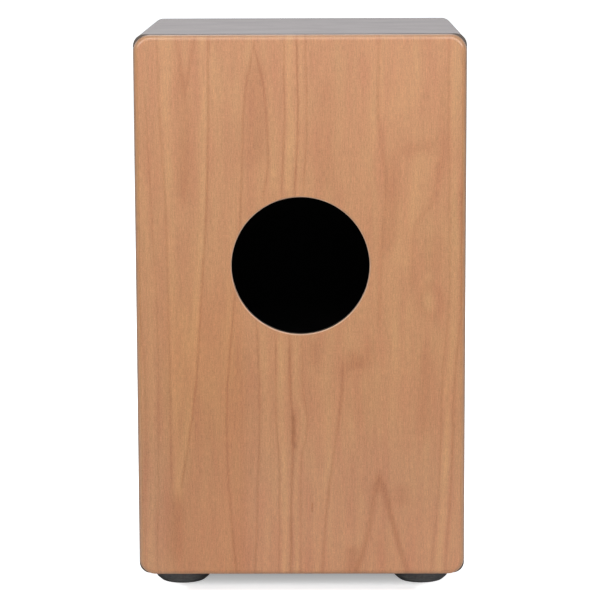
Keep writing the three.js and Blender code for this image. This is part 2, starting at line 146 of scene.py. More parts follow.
class Field:
    """A number that varies over a material, held as an output socket. Arithmetic adds nodes."""

    def __init__(self, material, socket):
        self.material = material
        self.socket = socket

    def __add__(self, other):
        return self.material.math("ADD", self, other)

    def __radd__(self, other):
        return self.material.math("ADD", other, self)

    def __sub__(self, other):
        return self.material.math("SUBTRACT", self, other)

    def __rsub__(self, other):
        return self.material.math("SUBTRACT", other, self)

    def __mul__(self, other):
        return self.material.math("MULTIPLY", self, other)

    def __neg__(self):
        return self.material.math("MULTIPLY", self, -1.0)

    def abs(self):
        return self.material.math("ABSOLUTE", self)

    def sqrt(self):
        return self.material.math("SQRT", self)

    def fract(self):
        return self.material.math("FRACT", self)

    def max(self, other):
        return self.material.math("MAXIMUM", self, other)

    def ramp(self, zero_at, one_at):
        """Smoothly 0 to 1 between two values; one_at may be the lower."""
        if one_at > zero_at:
            source, target = (zero_at, one_at), (0.0, 1.0)
        else:
            source, target = (one_at, zero_at), (1.0, 0.0)
        return Field(self.material, map_range(self.material.tree, self, source, target))

    def line(self, width):
        """A soft line where this value crosses 0: exp(-(value / width)^2)."""
        scaled = self * (1.0 / width)
        return self.material.math("EXPONENT", -(scaled * scaled))


class Material:
    """A material whose fields x, y and z are millimetres in the object's frame."""

    def __init__(self, name):
        self.material = bpy.data.materials.new(name)
        self.material.use_nodes = True
        self.tree = self.material.node_tree
        self.tree.nodes.clear()
        self.surface = self.node("BsdfPrincipled")
        self.node("OutputMaterial", {0: self.surface.outputs[0]})
        metres = self.node("TexCoord").outputs["Object"]
        scaled = self.node("VectorMath", {0: metres, "Scale": 1000.0}, operation="SCALE")
        axes = self.node("SeparateXYZ", {0: scaled.outputs[0]})
        self.x, self.y, self.z = (Field(self, axis) for axis in axes.outputs)

    def node(self, kind, inputs=None, **settings):
        return add_node(self.tree, kind, inputs, **settings)

    def math(self, operation, *values):
        return Field(self, math_node(self.tree, operation, *values))

    def per_mm(self, x, y=None, z=None):
        """The point scaled to this many texture features per mm, the same each way by default."""
        return (
            self.x * x,
            self.y * (x if y is None else y),
            self.z * (x if z is None else z),
        )

    def combine(self, point):
        return self.node("CombineXYZ", dict(enumerate(point))).outputs[0]

    def noise(self, point, detail=3.0, rough=0.55):
        """Signed noise, about -0.5 to 0.5, with features about one unit of point across.

        A plain number among the three coordinates picks a different slice of the noise.
        """
        inputs = {
            "Vector": self.combine(point),
            "Scale": 1.0,
            "Detail": detail,
            "Roughness": rough,
        }
        return Field(self, self.node("TexNoise", inputs).outputs["Fac"]) - 0.5

    def cells(self, point):
        """Distance to the nearest of scattered points, about one unit apart."""
        inputs = {"Vector": self.combine(point), "Scale": 1.0}
        return Field(self, self.node("TexVoronoi", inputs).outputs["Distance"])

    def curve(self, value, points, lo, hi, out_lo, out_hi):
        """A smooth line through points of (input, output) within the given limits."""
        unit = sorted(
            ((a - lo) / (hi - lo), (b - out_lo) / (out_hi - out_lo)) for a, b in points
        )
        socket = curve_node(self.tree, (value - lo) * (1.0 / (hi - lo)), unit)
        return Field(self, socket) * (out_hi - out_lo) + out_lo

    def mix(self, factor, first, second, blend="MIX"):
        return mix_color(self.tree, factor, first, second, blend)

    def shade(self, color, factor):
        """Multiplies a colour by a number, keeping values above 1."""
        inputs = {0: color, "Scale": factor}
        return self.node("VectorMath", inputs, operation="SCALE").outputs[0]

    def bump(self, height, strength):
        """A normal from a height in mm."""
        inputs = {"Strength": strength, "Distance": MM, "Height": height}
        return self.node("Bump", inputs).outputs[0]

    def edge(self, radius):
        """About 1 on a convex or concave edge and 0 on a face."""
        rounded = self.node("Bevel", {"Radius": radius * MM}, samples=4).outputs[0]
        normal = self.node("NewGeometry").outputs["Normal"]
        dot = self.node("VectorMath", {0: rounded, 1: normal}, operation="DOT_PRODUCT")
        return (1.0 - Field(self, dot.outputs["Value"])).ramp(0.02, 0.25)

    def finish(self, color, rough, normal, **others):
        """Fills the surface's inputs; an underscore in a name stands for a space."""
        inputs = {"Base Color": color, "Roughness": rough, "Normal": normal, **others}
        for name, value in inputs.items():
            plug(self.tree, self.surface.inputs[name.replace("_", " ")], value)
        return self.material


def srgb(red, green, blue):
    """sRGB 0-255 to linear."""
    return tuple(
        c / 255 / 12.92 if c <= 10 else ((c / 255 + 0.055) / 1.055) ** 2.4
        for c in (red, green, blue)
    )


# ==========================================================================================
# Veneered panels
# ==========================================================================================

# The rear veneer's figure. Each streak is ((x, height above BOX_BOTTOM), ...), half width and
# strength, which is pale above 0 and dark below.
STREAKS = (
    (((-128, 496), (-126, 415), (-122, 347), (-120, 224), (-119, 84)), 1.3, -0.55),
    (((-123, 496), (-121, 406), (-118, 306), (-116, 214), (-115, 70)), 4.2, 0.75),
    (((-82, 495), (-84, 361), (-90, 260), (-97, 168), (-110, 82)), 1.2, -0.85),
    (((-86, 495), (-87, 383), (-93, 270), (-101, 159), (-113, 72)), 4.4, 0.85),
    (((-107, 242), (-111, 149), (-114, 72)), 8.0, 0.4),
    (((-107, 469), (-104, 406), (-105, 347)), 6.0, -0.6),
    (((-111, 495), (-107, 469), (-104, 442)), 1.6, -0.5),
    (((-94, 495), (-99, 469), (-103, 442)), 1.6, -0.5),
    (((-115, 77), (-116, 18)), 7.0, -0.7),
    (((-144, 419), (-139, 306), (-136, 205), (-139, 4)), 2.4, 0.55),
    (((-139, 437), (-133, 306), (-130, 205), (-133, 4)), 1.2, -0.4),
    (((-147, 260), (-142, 177), (-144, 4)), 1.2, -0.4),
    (((-41, 487), (-49, 446), (-53, 361), (-58, 279), (-65, 205), (-68, 135), (-65, 60),
      (-60, 4)), 1.3, -0.7),
    (((-46, 487), (-56, 442), (-59, 361), (-62, 279), (-69, 205), (-73, 131)), 3.6, 0.4),
    (((-41, 487), (-33, 451), (-30, 415), (-29, 383), (-34, 349)), 1.4, -0.75),
    (((-33, 487), (-26, 442), (-24, 388), (-27, 351)), 3.2, 0.35),
    (((-41, 473), (-40, 433), (-42, 379)), 10.0, -0.5),
    (((-40, 235), (-38, 177), (-39, 103), (-43, 4)), 1.3, -0.6),
    (((-33, 223), (-31, 149), (-33, 4)), 3.4, 0.4),
    (((-51, 205), (-52, 131), (-52, 8)), 12.0, -0.28),
    (((-9, 495), (-9, 428), (-12, 352)), 3.8, 1.0),
    (((-14, 495), (-14, 428), (-17, 352)), 1.1, -0.7),
    (((-3, 495), (-2, 428), (-5, 352)), 1.1, -1.0),
    (((1, 495), (1, 428), (-2, 352)), 1.6, 0.55),
    (((5, 495), (6, 428), (3, 352)), 1.1, -0.6),
    (((-18, 224), (-18, 159), (-15, 93), (-16, 4)), 3.8, 1.0),
    (((-23, 224), (-23, 159), (-20, 93), (-21, 4)), 1.0, -0.6),
    (((-10, 224), (-10, 177), (-7, 140), (-9, 84), (-10, 4)), 1.5, -0.9),
    (((-5, 224), (-5, 177), (2, 145), (-4, 107), (-5, 56), (-4, 4)), 1.7, 0.6),
    (((1, 224), (2, 177), (6, 142), (0, 107), (-1, 4)), 1.1, -0.45),
    (((-7, 152), (-7, 135), (-7, 119)), 3.0, -1.0),
    (((24, 455), (24, 406), (25, 356)), 9.0, -0.32),
    (((12, 219), (11, 196)), 6.0, -0.45),
    (((71, 495), (70, 432), (74, 392), (77, 360), (73, 301), (71, 235)), 2.2, -0.5),
    (((83, 387), (83, 347), (78, 301)), 6.5, -0.45),
    (((81, 301), (78, 260), (82, 223)), 8.0, 0.4),
    (((89, 486), (87, 455), (79, 423)), 13.0, 0.5),
    (((110, 390), (103, 351), (99, 319), (96, 285)), 11.0, 0.75),
    (((126, 383), (119, 347), (105, 324), (101, 297), (101, 269)), 3.6, -0.38),
    (((121, 315), (119, 283)), 9.0, -0.3),
    (((130, 468), (130, 423), (128, 374)), 5.0, -0.3),
    (((140, 495), (139, 360), (141, 278), (135, 186), (132, 84), (125, 4)), 4.2, 0.85),
    (((133, 495), (134, 360), (135, 278), (129, 186), (126, 84), (119, 4)), 1.2, -0.45),
    (((145, 360), (145, 260), (140, 177), (137, 84), (132, 4)), 1.3, -0.55),
    (((38, 200), (37, 168), (32, 131), (23, 60), (19, 4)), 1.6, -0.7),
    (((31, 186), (27, 131), (18, 60), (14, 4)), 4.0, 0.35),
    (((44, 177), (38, 117), (29, 56)), 4.0, 0.3),
    (((94, 223), (89, 168), (87, 130)), 16.0, 0.4),
    (((113, 214), (113, 177), (111, 130)), 6.0, -0.5),
    (((72, 37), (76, 4)), 9.0, -0.25),
    (((47, 27), (46, 5)), 6.5, -0.75),
    (((94, 84), (92, 65)), 9.0, -0.35),
    (((71, 91), (68, 81), (64, 56), (58, 27), (51, 5)), 3.0, -0.85),
    (((72, 91), (76, 81), (82, 56), (90, 27), (97, 4)), 3.0, -0.95),
    (((71, 93), (71, 77)), 5.0, -0.55),
    (((10, 68), (10, 60)), 0.55, -1.6),
    (((-121, 496), (-119, 442)), 9.0, 0.25),
    (((-74, 482), (-73, 361), (-79, 260)), 9.0, 0.22),
    (((33, 468), (39, 360)), 10.0, 0.22),
    (((62, 495), (62, 405)), 8.0, 0.15),
)
# Soft patches: x, height above BOX_BOTTOM, half width, half height, slope, strength
PATCHES = (
    (106, 395, 17.3, 5.4, 0.2, -0.75),
    (51, 198, 10.9, 6.9, 0.18, -1.35),
    (63, 214, 5.5, 6.4, 0.0, -0.5),
    (97, 441, 15.5, 23.0, 0, 0.25),
    (118, 255, 4.1, 7.4, 0, 0.65),
    (55, 161, 13.6, 13.8, 0, -0.3),
)
END_MARGIN = 9  # a streak that stops further than this from the sheet's end fades out

# Height above BOX_BOTTOM and the brightness added there: painted light and shade by height,
# lighter towards both ends than in the middle
PAINTED_LIGHT_BY_HEIGHT = (
    (0, 0.07), (55, 0.01), (110, -0.042), (230, -0.057), (290, -0.054), (390, -0.044),
    (497, -0.026),
)
# Height above BOX_BOTTOM and how grey the tan is there
END_GREYNESS = ((0, 1.0), (90, 0.6), (220, 0.0), (340, 0.1), (497, 0.5))

TAN = srgb(203, 153, 109)
ROSE = srgb(198, 138, 101)
AMBER = srgb(190, 126, 84)
CORE_PALE = srgb(222, 182, 144)
CORE_DARK = srgb(208, 162, 122)
# Lacquer bled onto the round-over, also carrying painted shade
BLED_LACQUER_AND_SHADE = srgb(150, 124, 110)
# The hole's eased edge: pale ply, lightened as a painted highlight
EDGE_PLY_AND_HIGHLIGHT = srgb(218, 186, 162)
HOLE_STAIN = (0.021, 0.0180, 0.0165)
# The rim's lacquer, lightened from black as a painted sheen
RIM_LACQUER_AND_SHEEN = (0.088, 0.066, 0.051)
INNER_PAINT = (0.010, 0.010, 0.011)


def ply_layers(depth, first, layer):
    """Plywood on its edge: (tone -1 to 1, how much it is an edge), from depth under the face.

    first is the face veneer's thickness and layer is that of each ply under it.
    """
    saw = ((depth - first) * (1.0 / layer) * 0.5).fract()
    tone = saw.ramp(0.44, 0.56) - saw.ramp(0.94, 1.0)
    return tone * 2.0 - 1.0, depth.ramp(first - 0.25, first + 0.05)


def fibres(t):
    """Upright fibre texture: coarse streaks, fine streaks, hairs and short dark flecks."""
    x, z = t.x, t.z
    density = 1.0  # streaks across the sheet, relative
    sway = t.noise((x * 0.02, z * 0.008, 3.0), detail=2) * 9.0
    coarse = t.noise(((x + sway) * 0.16 * density, z * 0.0045, 1.0), detail=4, rough=0.6)
    fine = t.noise(((x + sway) * 0.75 * density, z * 0.03, 5.0), detail=4, rough=0.65)
    hair = t.noise(((x + sway * 0.5) * 1.5 * density, z * 0.16, 9.0), rough=0.6)
    fleck = t.cells(((x + sway) * 0.95, z * 0.26, 0.0)).ramp(0.20, 0.05)
    return coarse, fine, hair, fleck


def rear_figure(t, height, across, jag, figure):
    """Adds the placed streaks and patches to figure, a dict of the dark and light fields."""
    x, z = t.x, t.z
    for points, width, strength in STREAKS:
        low = min(h for _, h in points)
        high = max(h for _, h in points)
        soft = min(12.0, 0.22 * (high - low))
        centre_line = t.curve(
            height, [(h, px) for px, h in points], 0.0, SHEET_HEIGHT, -150.0, 150.0
        )
        mark = (across - centre_line).line(width) * abs(strength)
        if low > END_MARGIN:
            mark = mark * height.ramp(low - soft, low + soft)
        if high < SHEET_HEIGHT - END_MARGIN:
            mark = mark * height.ramp(high + soft, high - soft)
        kind = "light" if strength > 0 else "dark"
        figure[kind] = figure[kind] + mark
    for px, pz, half_width, half_height, slope, strength in PATCHES:
        drift = t.noise((x * 0.07, z * 0.07, px), detail=4, rough=0.65) * 26.0
        upright = height + jag * 2.5 + drift - pz - (across - px) * slope
        mark = upright.line(half_height * 1.3) * (across - px).line(half_width)
        mark = mark * abs(strength) * 0.8
        kind = "light" if strength > 0 else "dark"
        figure[kind] = figure[kind] + mark
    # A faint oval ring of 9.5 mm half width, round the patch at the same centre
    ring_x, ring_height = 118.0, 255.0
    ring = (
        ((across - ring_x) * (across - ring_x))
        + ((height - ring_height) * (height - ring_height) * 0.5)
    ).sqrt()
    figure["dark"] = figure["dark"] + (ring - 9.5 + jag).line(3.6) * 0.32
    uneven = t.noise((x * 0.05, z * 0.02, 31.0)) * 1.3 + 1.0
    for kind in ("dark", "light"):
        figure[kind] = figure[kind] * uneven


def front_figure(t, wobble, fine_wobble, jag, figure):
    """Flat-sawn figure: growth rings cut at a shallow angle give arches and straight sides."""
    x, z = t.x, t.z
    across = x + 18.0 + (wobble + fine_wobble) * 1.3 + jag * 0.7
    tilt = (z - 205.0) * 0.075 + t.noise((x * 0.008, z * 0.006, 2.0), detail=2) * 16.0
    ring = ((across * across) + (tilt * tilt * 2.2) + 30.0).sqrt()
    ring_spacing = 13.0
    uneven = t.noise((ring * 0.05, 0.0, 4.0), detail=2) * 1.2
    growth = (ring * (1.0 / ring_spacing) + uneven).fract()
    late_wood = growth.ramp(0.62, 0.97) * growth.ramp(1.0, 0.975)
    figure["dark"] = figure["dark"] + late_wood * 0.75
    figure["light"] = figure["light"] + (growth - 0.2).line(0.16) * 0.45


def veneer_face(t, height, dark, light, coarse, fine, hair, fleck):
    """The colour of the sheet's face."""
    x, z = t.x, t.z
    blotch = t.noise((x * 0.02, z * 0.008, 12.0))
    hue = t.noise((x * 0.10, z * 0.014, 20.0))
    speck = t.noise((x * 1.3, z * 0.7, 41.0), detail=2)
    # Painted light and shade by height, setting how bright the panel is from top to bottom
    painted_height_light = t.curve(height, PAINTED_LIGHT_BY_HEIGHT, 0.0, SHEET_HEIGHT, -0.1, 0.1)
    # Brightness: the share of each layer, the painted light and shade by height, a slight painted
    # light rising towards +X, a darker lower left and a darker strip up the right side
    tone = (
        light * 0.046
        - dark * 0.088
        + coarse * 0.12
        + fine * 0.36
        + hair * 0.60
        + speck * 0.50
        - fleck * 0.09
        + blotch * 0.10
        + painted_height_light
        + x * 0.00012
        - x.ramp(-40.0, -110.0) * height.ramp(250.0, 120.0) * 0.060
        - x.ramp(130.0, 147.0) * height.ramp(180.0, 330.0) * 0.070
    ) + 1.0
    # Hue: rose with the hue noise and in dark marks, tan in pale ones, amber in the darkest
    base = t.mix((hue * 1.8 + 0.55) + dark * 0.30 - light * 0.42, TAN, ROSE)
    base = t.mix(dark * 0.45, base, AMBER)
    # The tan turns a little greyer towards the sheet's ends.
    grey = t.curve(height, END_GREYNESS, 0.0, SHEET_HEIGHT, 0.0, 1.0)
    cast = t.mix(grey, (1.0, 0.985, 0.94), (1.0, 1.005, 1.08))
    base = t.mix(1.0, base, cast, "MULTIPLY")
    # A warmer band runs down the lower left.
    warm = x.ramp(-135.0, -110.0) * x.ramp(-45.0, -60.0) * height.ramp(330.0, 190.0)
    base = t.mix(warm, base, (1.0, 0.955, 0.885), "MULTIPLY")
    return t.shade(base, tone)


def rear_edges(t, height, depth, is_edge, pith, color, face):
    """The rear panel's round-over and hole wall: (colour, rim mask, polish mask, rim paint with
    its painted sheen).
    """
    x = t.x
    # The outer rim is lacquered with the shell, and a little bleeds onto the round-over, which is
    # darkened further there as painted shade.
    ragged_depth = depth + t.noise(t.per_mm(0.25), detail=4, rough=0.65) * 1.6
    # 0 around the hole and 1 beyond it
    away = (
        (x * x) + ((height - HOLE_HEIGHT) * (height - HOLE_HEIGHT))
    ).sqrt().ramp(74.0, 78.0)
    color = t.mix(is_edge * away * 0.72, color, face)
    # Painted shade with the lacquer bleed: the round-over darkens towards its outer edge, less so
    # near the floor.
    bleed_and_shade = ragged_depth.ramp(0.1, 3.4) * away * (height.ramp(0.0, 25.0) * 0.26 + 0.30)
    color = t.mix(bleed_and_shade, color, BLED_LACQUER_AND_SHADE)
    # The round-over is rubbed smoother towards the sides.
    polish = depth.ramp(0.01, 0.08) * depth.ramp(1.7, 0.9) * x.abs().ramp(118.0, 137.0) * away
    # The hole's wall is stained dark, up to its eased pale edge.
    rim = ragged_depth.ramp(3.7, 4.6) * away + (depth + pith * 0.4).ramp(1.3, 1.6) * (1.0 - away)
    # That edge shows the pale ply under the face, lightened further as a painted highlight.
    color = t.mix(depth.ramp(0.02, 0.2) * (1.0 - away) * 0.6, color, EDGE_PLY_AND_HIGHLIGHT)
    # The outer rim's lacquer is lighter than black, a painted sheen; the hole's wall is stained
    # dark.
    return color, rim, polish, t.mix(away, HOLE_STAIN, RIM_LACQUER_AND_SHEEN)


def veneer(name, front):
    t = Material(name)
    x, y, z = t.x, t.y, t.z
    height = z - BOX_BOTTOM
    # Sideways wander of the figure, from broad to ragged, in mm
    wobble = t.noise((x * 0.03, z * 0.010, 0.0)) * 5.0
    fine_wobble = t.noise((x * 0.12, z * 0.035, 7.0), detail=2) * 2.2
    jag = t.noise((x * 0.6, z * 0.11, 17.0), detail=4, rough=0.72) * 3.6
    coarse, fine, hair, fleck = fibres(t)
    figure = {kind: t.math("ADD", 0.0, 0.0) for kind in ("dark", "light")}
    if front:
        front_figure(t, wobble, fine_wobble, jag, figure)
    else:
        across = x + wobble * 0.2 + fine_wobble * 0.6 + jag
        rear_figure(t, height, across, jag, figure)
    face = veneer_face(t, height, **figure, coarse=coarse, fine=fine, hair=hair, fleck=fleck)

    depth = (HALF_DEPTH - y) if front else (y + HALF_DEPTH)
    layers, is_edge = ply_layers(depth, first=0.55, layer=0.8 if front else 1.4)
    pith = t.noise(t.per_mm(0.5))
    core = t.mix(0.5 + pith, CORE_PALE, CORE_DARK)
    core = t.shade(core, layers * 0.05 + fine * 0.08 + 1.0)
    color = t.mix(is_edge, face, core)
    if front:
        # The tapa has no lacquered rim.
        rim = depth * 0.0
        polish = rim
        paint = HOLE_STAIN
    else:
        color, rim, polish, paint = rear_edges(t, height, depth, is_edge, pith, color, face)
    color = t.mix(rim, color, paint)
    # The inner face is painted matte black.
    inner = depth.ramp(2.95, 3.1) if front else depth.ramp(8.55, 8.8)
    color = t.mix(inner, color, INNER_PAINT)
    rough = (
        (0.46 + fine * 0.12 + hair * 0.10 + fleck * 0.08)
        + inner * 0.35
        - rim * (1.0 - inner) * 0.10
        - polish * (1.0 - inner) * 0.28
    )
    smudge = t.noise(t.per_mm(0.02, 0.02, 0.016))
    relief = (
        hair * 0.020 + fine * 0.030 - fleck * 0.022 + coarse * 0.02 + layers * is_edge * 0.008
    )
    return t.finish(
        color,
        rough + smudge * 0.08,
        t.bump(relief, strength=0.55),
        Coat_Weight=(1.0 - inner) * 0.10,
        Coat_Roughness=0.35,
        Specular_IOR_Level=rim * 0.10 + 0.38,
        IOR=1.48,
    )


# ==========================================================================================
# Other materials
# ==========================================================================================


def black_lacquer():
    t = Material("black_lacquer")
    x, y, z = t.x, t.y, t.z
    # Masks: the unpolished inside of the box, and the outer side faces
    inside = (
        (138.4 - x.abs()).ramp(0.0, 0.2)
        * z.ramp(BOX_BOTTOM + 11.4, BOX_BOTTOM + 11.8)
        * z.ramp(BOX_TOP - 11.4, BOX_TOP - 11.8)
    )
    peel = t.noise(t.per_mm(0.55), detail=2)
    # Grain runs along y and z near the top and bottom, and along z everywhere.
    near_ends = z.ramp(BOX_BOTTOM + 16, BOX_BOTTOM + 6).max(z.ramp(BOX_TOP - 16, BOX_TOP - 6))
    grain = t.noise(t.per_mm(0.9, 0.05, 0.05)) * near_ends + t.noise(
        (y * 0.9, x * 0.9, z * 0.03)
    ) * 0.6
    haze = t.noise(t.per_mm(0.02, 0.025, 0.02), detail=4, rough=0.6)
    side = (x.abs() - 149.0).ramp(0.0, 0.8)
    # Broad upright figure and open pores show through on the sides.
    warp = t.noise(t.per_mm(0.01, 0.03, 0.007)) * 12.0
    broad = t.noise((1.0, (y + warp) * 0.10, z * 0.005), detail=4, rough=0.6) * side
    pores = t.cells((x * 0.1, (y + warp) * 1.1, z * 0.12)).ramp(0.22, 0.06) * side
    dust = t.cells(t.per_mm(0.22)).ramp(0.06, 0.02)
    wear = t.edge(1.6) * t.noise(t.per_mm(0.11), detail=4, rough=0.65).ramp(0.08, 0.28)
    color = t.shade(
        t.mix(haze + 0.5, (0.0135, 0.0130, 0.0135), (0.0185, 0.0180, 0.0185)),
        1.0 + grain * (0.25 + side * 0.8) + broad * 1.1 - pores * 0.35,
    )
    color = t.mix(dust * 0.25, color, (0.10, 0.095, 0.09))
    color = t.mix(wear * 0.55 * (1.0 - inside), color, (0.075, 0.055, 0.040))
    # The boards' sawn rear ends are duller, and greyer as a painted sheen.
    sawn_end_sheen = (-140.1 - y).ramp(0.0, 0.5) * (1.0 - inside)
    color = t.mix(sawn_end_sheen * (0.80 + grain * 0.5), color, (0.130, 0.098, 0.076))
    rough = (
        0.36
        + haze * 0.10
        + sawn_end_sheen * 0.2
        + wear * 0.2
        + dust * 0.2
        + inside * 0.42
        + (broad * 0.5 + grain * 0.25 + pores * 0.12) * side
    )
    relief = peel * 0.010 + grain * (0.012 + side * 0.03) + dust * 0.01 - pores * 0.03
    return t.finish(
        color,
        rough,
        t.bump(relief, strength=0.5),
        IOR=1.5,
        Coat_Weight=(1.0 - inside) * 0.0,
        Specular_IOR_Level=0.5,
    )


def black_stain():
    """Stained blocks with saw marks and worn edges."""
    t = Material("black_stain")
    grain = t.noise(t.per_mm(0.9, 0.04, 0.9), detail=4)
    saw = t.noise(t.per_mm(0.3, 1.4, 0.3), detail=2)
    wear = t.edge(0.8) * t.noise(t.per_mm(0.3)).ramp(0.0, 0.3)
    stain = t.shade((0.016, 0.0155, 0.015), 1.0 + grain * 1.2)
    color = t.mix(wear * 0.5, stain, (0.09, 0.06, 0.04))
    relief = grain * 0.08 + saw * 0.04
    return t.finish(color, 0.78 + grain * 0.15, t.bump(relief, strength=0.7))


def foot_rubber():
    """Grey rubber, scuffed towards the floor, and lighter near the floor as a painted highlight.
    """
    t = Material("foot_rubber")
    z = t.z
    mottle = t.noise(t.per_mm(0.25, 0.25, 0.4), detail=4)
    grit = t.noise(t.per_mm(2.4), detail=2)
    scuff = t.noise(t.per_mm(0.15, 0.15, 1.2), detail=4, rough=0.7).ramp(-0.04, 0.26)
    scuff = scuff * z.ramp(9.5, 5.0)
    rubber = t.shade((0.112, 0.1125, 0.112), 1.0 + mottle)
    color = t.mix(scuff * 0.6, rubber, (0.27, 0.268, 0.26))
    # Painted highlight: the rubber lightens towards the floor.
    color = t.mix((z + mottle * 3.0).ramp(5.0, 0.6) * 0.65, color, (0.24, 0.239, 0.235))
    return t.finish(
        color,
        0.62 + mottle * 0.2 + scuff * 0.15,
        t.bump(grit * 0.05 + mottle * 0.04, strength=0.7),
        Specular_IOR_Level=0.45,
    )


def metal(name, color, rough, spots, spot_color, scratches=1.0):
    """Scratched metal; spots is how strong its stains are, scratches their density along x."""
    t = Material(name)
    cloud = t.noise(t.per_mm(0.7), detail=4)
    scratch = t.noise((t.x * 3.0 * scratches, t.y * 0.7, t.z * 3.0))
    spot = t.noise(t.per_mm(1.3), detail=5, rough=0.7).ramp(0.16, 0.34) * spots
    clean = t.shade(color, 1.0 + cloud * 0.25 + scratch * 0.12)
    return t.finish(
        t.mix(spot, clean, spot_color),
        rough + cloud * 0.18 + scratch * 0.12 + spot * 0.2,
        t.bump(scratch * 0.012 + cloud * 0.01, strength=0.6),
        Metallic=1.0,
    )


def felt():
    t = Material("felt")
    fuzz = t.noise(t.per_mm(2.2), detail=6, rough=0.7)
    color = t.shade((0.035, 0.035, 0.038), 1.0 + fuzz * 1.5)
    normal = t.bump(fuzz * 0.25, strength=0.9)
    return t.finish(color, 0.95, normal, Sheen_Weight=0.5, Sheen_Roughness=0.5)


def beech():
    """Beech with its grain along x, darker on the bar's end grain."""
    t = Material("beech")
    grain = t.noise(t.per_mm(0.02, 0.8, 0.8), detail=4, rough=0.6)
    fleck = t.cells(t.per_mm(0.22, 1.1, 1.1)).ramp(0.24, 0.08)
    end = (t.x.abs() - 129.2).ramp(-0.3, 0.2)
    wood = t.mix(grain + 0.5, srgb(196, 154, 112), srgb(212, 174, 132))
    color = t.shade(wood, 1.0 + grain * 0.25 - fleck * 0.16 - end * 0.25)
    normal = t.bump(grain * 0.05 - fleck * 0.03, strength=0.6)
    return t.finish(color, 0.58 + grain * 0.2, normal)


MATERIALS = {
    "veneer_rear": veneer("veneer_rear", front=False),
    "veneer_front": veneer("veneer_front", front=True),
    "black_lacquer": black_lacquer(),
    "black_stain": black_stain(),
    "foot_rubber": foot_rubber(),
    "zinc_steel": metal(
        "zinc_steel", (0.66, 0.67, 0.68), rough=0.34, spots=0.35, spot_color=(0.42, 0.41, 0.39)
    ),
    "black_steel": metal(
        "black_steel", (0.055, 0.055, 0.06), rough=0.42, spots=0.5, spot_color=(0.11, 0.10, 0.09)
    ),
    "snare_steel": metal(
        "snare_steel", (0.70, 0.71, 0.72), rough=0.24, spots=0.25,
        spot_color=(0.48, 0.46, 0.42), scratches=0.4,
    ),
    "felt": felt(),
    "beech": beech(),
}

# ==========================================================================================
# Mesh tools
# ==========================================================================================


def new_bm(verts, faces):
    bm = bmesh.new()
    made = [bm.verts.new(v) for v in verts]
    for face in faces:
        bm.faces.new([made[i] for i in face])
    return bm


def finish_piece(bm, node, material, body="root", sharp=32.0, metres=False):
    """Makes the object that replaces a CAD node. Edges over sharp degrees stay hard."""
    bmesh.ops.remove_doubles(bm, verts=bm.verts, dist=1e-8 if metres else 1e-5)
    bmesh.ops.recalc_face_normals(bm, faces=bm.faces)
    for face in bm.faces:
        face.smooth = True
    limit = math.radians(sharp)
    for edge in bm.edges:
        edge.smooth = len(edge.link_faces) == 2 and edge.calc_face_angle(0.0) < limit
    if not metres:
        bmesh.ops.scale(bm, vec=(MM, MM, MM), verts=bm.verts)
    name = node + "_fine"
    mesh = to_mesh(bm, name)
    mesh.materials.append(MATERIALS[material])
    piece = link_object(name, mesh)
    piece.modifiers.new("normals", "WEIGHTED_NORMAL").keep_sharp = True
    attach(piece, body)
    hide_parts(node)


def to_mesh(bm, name):
    """Turns a bmesh into a mesh and frees it."""
    mesh = bpy.data.meshes.new(name)
    bm.to_mesh(mesh)
    bm.free()
    return mesh


def link_object(name, data):
    made = bpy.data.objects.new(name, data)
    bpy.context.scene.collection.objects.link(made)
    return made


def strip(a, b):
    """Quads between two closed rings of indices."""
    count = len(a)
    return [[a[i], a[(i + 1) % count], b[(i + 1) % count], b[i]] for i in range(count)]


def stack(verts, faces, rings):
    """Adds rings of points, joins each to the next and returns their rows of indices."""
    rows = []
    for ring in rings:
        rows.append(list(range(len(verts), len(verts) + len(ring))))
        verts += ring
    for a, b in zip(rows, rows[1:]):
        faces += strip(a, b)
    return rows


def lathe(profile, segments, closed=False):
    """[(radius, height)] turned about Z. Open profiles start and end on the axis."""
    verts, faces, rows = [], [], []
    for radius, height in profile:
        if radius < 1e-9:
            rows.append([len(verts)] * segments)
            verts.append((0, 0, height))
        else:
            rows.append(list(range(len(verts), len(verts) + segments)))
            verts += circle(radius, height, segments)
    pairs = list(zip(rows, rows[1:]))
    if closed:
        pairs.append((rows[-1], rows[0]))
    for a, b in pairs:
        for quad in strip(a, b):
            corners = list(dict.fromkeys(quad))
            if len(corners) > 2:
                faces.append(corners)
    return new_bm(verts, faces)


def circle(radius, height, segments):
    angles = [2 * math.pi * i / segments for i in range(segments)]
    return [(radius * math.cos(a), radius * math.sin(a), height) for a in angles]


def fillet(points, radii, steps):
    """Rounds the corners of a closed polygon. radii is one number, or one for each point."""
    out = []
    for i, point in enumerate(points):
        radius = radii if isinstance(radii, (int, float)) else radii[i]
        corner = Vector(point)
        before = Vector(points[i - 1])
        after = Vector(points[(i + 1) % len(points)])
        u = (before - corner).normalized()
        v = (after - corner).normalized()
        half = u.angle(v) / 2
        reach = min(
            radius / math.tan(half),
            (before - corner).length * 0.49,
            (after - corner).length * 0.49,
        )
        middle = corner + (u + v).normalized() * math.hypot(reach, reach * math.tan(half))
        start = corner + u * reach - middle
        end = corner + v * reach - middle
        turn = start.angle_signed(end)
        for k in range(steps + 1):
            out.append(tuple(middle + Matrix.Rotation(-turn * k / steps, 2) @ start))
    return out


def place(bm, matrix):
    bmesh.ops.transform(bm, matrix=matrix, verts=bm.verts)


def along_y(points, y0, y1):
    """A prism of an (x, z) outline."""
    verts, faces = [], []
    rings = [[(x, y, z) for x, z in points] for y in (y0, y1)]
    first, last = stack(verts, faces, rings)
    return new_bm(verts, faces + [first[::-1], last])


